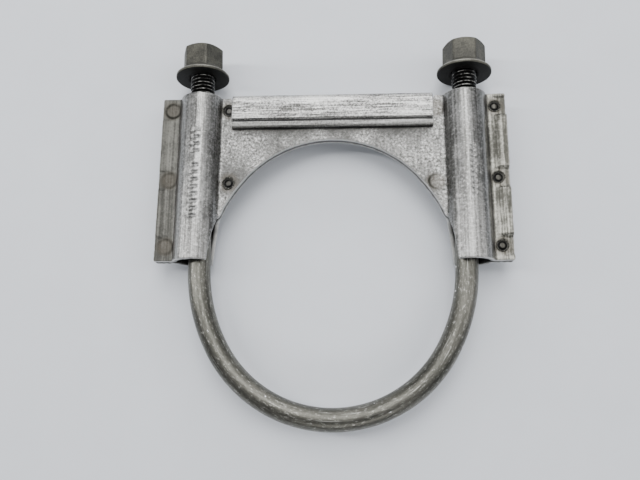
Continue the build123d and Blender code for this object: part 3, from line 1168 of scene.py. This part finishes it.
def nut_rows():
    """(height, round radius) down the nut's section. None means the hexagon's side."""
    soft = 0.4 * MM
    in_rim = FLANGE - soft
    shoulder = FLANGE - 0.35 * MM
    rim_top = FLANGE_RIM - 0.45 * MM
    sink = [(SINK * (1 - t), BORE + SINK * t) for t in (0.0, 0.5, 1.0)]
    under = sink + [(0.0, r * MM) for r in (6.3, 7.6, 9.0, 10.2)]
    turns = np.radians((-90, -60, -30, 0))
    edge = [(soft + soft * sin(t), in_rim + soft * cos(t)) for t in turns]
    edge += [(rim_top, FLANGE)]
    edge += [(rim_top + soft * sin(t), in_rim + soft * cos(t)) for t in np.radians((25, 50))]
    rise, inwards = FLANGE_HEIGHT - FLANGE_RIM, HEX_AT_FLANGE - shoulder
    slope = [(FLANGE_RIM + rise * t, shoulder + inwards * t) for t in (0.1, 0.35, 0.6, 0.8)]
    sides = [(z * MM, None) for z in (3.25, 3.45, 3.7, 4.1, 5, 6.5, 8.5, 10.2, 11.2)]
    sides += [(z, None) for z in np.linspace(11.5 * MM, NUT_HEIGHT, 14)]
    top = [(NUT_HEIGHT, r * MM) for r in (7.0, 6.4, 5.8)]
    top += [(NUT_HEIGHT - z, r) for z, r in sink[::-1]]
    bore = [(z, BORE) for z in np.linspace(NUT_HEIGHT - 1.2 * SINK, 1.2 * SINK, 8)]
    return under + edge + slope + sides + top + bore


print("a nut has", len(nut_rows()), "rows of", len(nut_angles()), "points")


# %% One nut
def nut_mesh(seed):
    """Points, faces and wear_and_shade values of a nut that stands on the origin with its axis up.
    """
    angle = nut_angles()
    hex_radius, corner = hexagon(angle)
    points, wear_and_shade = [], []
    for z, given in nut_rows():
        level = np.full_like(angle, z)
        if given is None:
            cone = TOP_RADIUS + (NUT_HEIGHT - z) / tan(CHAMFER)
            foot = HEX_AT_FLANGE + (FLANGE_HEIGHT - z) * 1.6
            radius = soft_min(soft_min(hex_radius, CORNERS, 0.25 * MM), cone, 0.35 * MM)
            radius = -soft_min(-radius, -foot, 0.5 * MM)
            rubbed = 0.6 * np.exp(-(((1 - corner) * 4.3) ** 2) * 16)
            rubbed = np.maximum(rubbed, 0.9 * np.exp(-(((hex_radius - cone) / (0.25 * MM)) ** 2)))
        else:
            radius = np.full_like(angle, given)
            rim = given > FLANGE - 0.3 * MM and z > 0.8 * MM
            # Rows under the flange and in the bore get -0.85: painted shade, near black.
            under = z < 0.2 * MM or given <= BORE + SINK
            rubbed = np.full_like(angle, 0.8 if rim else -0.85 if under else 0.0)
        if given is None or given > BORE + SINK:
            radius = radius + 0.02 * MM * ripple(angle * 8 * MM, level, 5 * MM, seed)
        points.append(np.stack([radius * np.cos(angle), radius * np.sin(angle), level], axis=1))
        wear_and_shade.append(rubbed)
    count, lines = len(angle), len(points)
    faces = grid_faces(lines, count, 0, True)
    number = np.arange(lines * count).reshape(lines, count)
    closing = ring_faces(number[-1], number[0])
    return np.vstack(points), np.vstack([faces, closing]), np.concatenate(wear_and_shade)


print("one nut:", len(nut_mesh(0)[0]), "points")

# %% [markdown]
# The nuts are black oxide: a thin dark skin over steel, matt, with an olive cast. It
# wears first at the corners, where a spanner has been. The wear_and_shade value is broken
# up with noise, so that the bright line along each corner has gaps, as a real one has.
# Where it is below 0, the nut is painted near black as shade.

# %% Black oxide
def nut_black():
    oxide = Finish("nut_black_oxide")
    place = oxide.place()
    fine = oxide.noise(place, 1500.0, 4.0, 0.7)
    patches = oxide.noise(place, 170.0, 4.0)
    light = (0.5 * fine + 0.5 * patches).rise(0.35, 0.7)
    wear_and_shade = oxide.attribute("wear_and_shade")
    rubbed = (wear_and_shade * (0.45 + 1.1 * patches) + 0.3 * fine - 0.15).rise(0.45, 0.95)
    colour = oxide.coated(
        oxide.blend(grey(0.045, 0.10), grey(0.13, 0.14), light),
        (grey(0.42, 0.09), rubbed * 0.7),
        # Below 0: painted shade under the flange and in the bore.
        (grey(0.006), -1.0 * wear_and_shade),
    )
    rough = 0.48 + 0.2 * patches - 0.12 * rubbed
    bumps = oxide.bump(fine, 0.08 * MM, 0.4)
    return oxide.surface(Base_Color=colour, Metallic=0.75, Roughness=rough, Normal=bumps)


oxide = nut_black()


# %% Place the nuts on their studs
def place_nut(points, side, turn):
    """Turns a nut about its axis and stands it on its stud, flange down."""
    across = np.array([cos(SPREAD), -side * sin(SPREAD), 0.0])
    up = np.array([side * sin(SPREAD), cos(SPREAD), 0.0])
    deep = np.cross(up, across)
    seat = np.array([side * (FOOT[0] + (SEAT_Y - FOOT[1]) * tan(SPREAD)), SEAT_Y, 0.0])
    x = points[:, 0] * cos(turn) - points[:, 1] * sin(turn)
    y = points[:, 0] * sin(turn) + points[:, 1] * cos(turn)
    return seat + x[:, None] * across + y[:, None] * deep + points[:, 2:] * up


NUT_TURNS = {"left": radians(21), "right": radians(82)}
for side, word in ((-1, "left"), (1, "right")):
    nut_points, nut_faces, nut_wear_and_shade = nut_mesh(seed=90 + side)
    nut_points = place_nut(nut_points, side, NUT_TURNS[word])
    nut = make_piece("flange_nut_" + word, nut_points, nut_faces, oxide, {"wear_and_shade": nut_wear_and_shade})
    put_on(nut, "nut_" + word, "nut_" + word)

# %% [markdown]
# ## Weld beads
#
# Each weld leaves a thin collar of metal round its dimple. The collar is the same each
# time but for small differences, which is work for Geometry Nodes: one ring is placed on
# every spot, turned and sized a little at random from a fixed seed.

# %% The weld collar tree
def collar_tree():
    sizes = {"Ring Radius": "Float", "Bead Radius": "Float", "Seed": "Int"}
    maker, given = new_tree("weld_collars", sizes)

    def circle(sides, radius):
        sockets = {"Resolution": sides, "Radius": given(radius)}
        return maker.node("GeometryNodeCurvePrimitiveCircle", None, sockets)

    def chance(low, high):
        sockets = {0: low, 1: high, "Seed": given("Seed")}
        return maker.node("FunctionNodeRandomValue", {"data_type": "FLOAT_VECTOR"}, sockets)

    sockets = {"Curve": circle(40, "Ring Radius"), "Profile Curve": circle(8, "Bead Radius")}
    collar = maker.node("GeometryNodeCurveToMesh", None, sockets)
    placed = maker.node("GeometryNodeInstanceOnPoints", None, {
        "Points": given("Geometry"),
        "Instance": collar,
        "Rotation": chance((-0.10, -0.10, 0.0), (0.10, 0.10, 6.28)),
        "Scale": chance((0.93, 0.93, 0.8), (1.05, 1.05, 1.2)),
    })
    return end_tree(maker, placed, given("Material"))


bead_tree = collar_tree()


# %% Burnt steel, and the collars on both faces
def burnt_steel():
    steel = Finish("weld_burnt_steel")
    place = steel.place()
    fine = steel.noise(place, 1800.0, 4.0, 0.7)
    colour = steel.blend(grey(0.02, 0.1), grey(0.22, 0.12), fine.rise(0.4, 0.75))
    bumps = steel.bump(fine, 0.10 * MM, 0.5)
    return steel.surface(Base_Color=colour, Metallic=0.6, Roughness=0.4 + 0.3 * fine, Normal=bumps)


burnt = burnt_steel()
spots = [(x * face * MM, y * MM, face * SHEET) for face in (1, -1) for x, y in PIP_SPOTS]
spot_mesh = bpy.data.meshes.new("weld_spots")
spot_mesh.from_pydata(spots, [], [])
collars = grown("weld_collars", linked("weld_spots", spot_mesh), bead_tree, {
    "Ring Radius": 2.35 * MM,
    "Bead Radius": 0.2 * MM,
    "Seed": 5,
    "Material": burnt,
})
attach(collars, "saddle")

# %% The fused discs between the sheets keep their own shape
for node in ("strip_welds", "web_welds"):
    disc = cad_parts[node]
    disc.data.materials.clear()
    disc.data.materials.append(burnt)
    print(node, "painted")
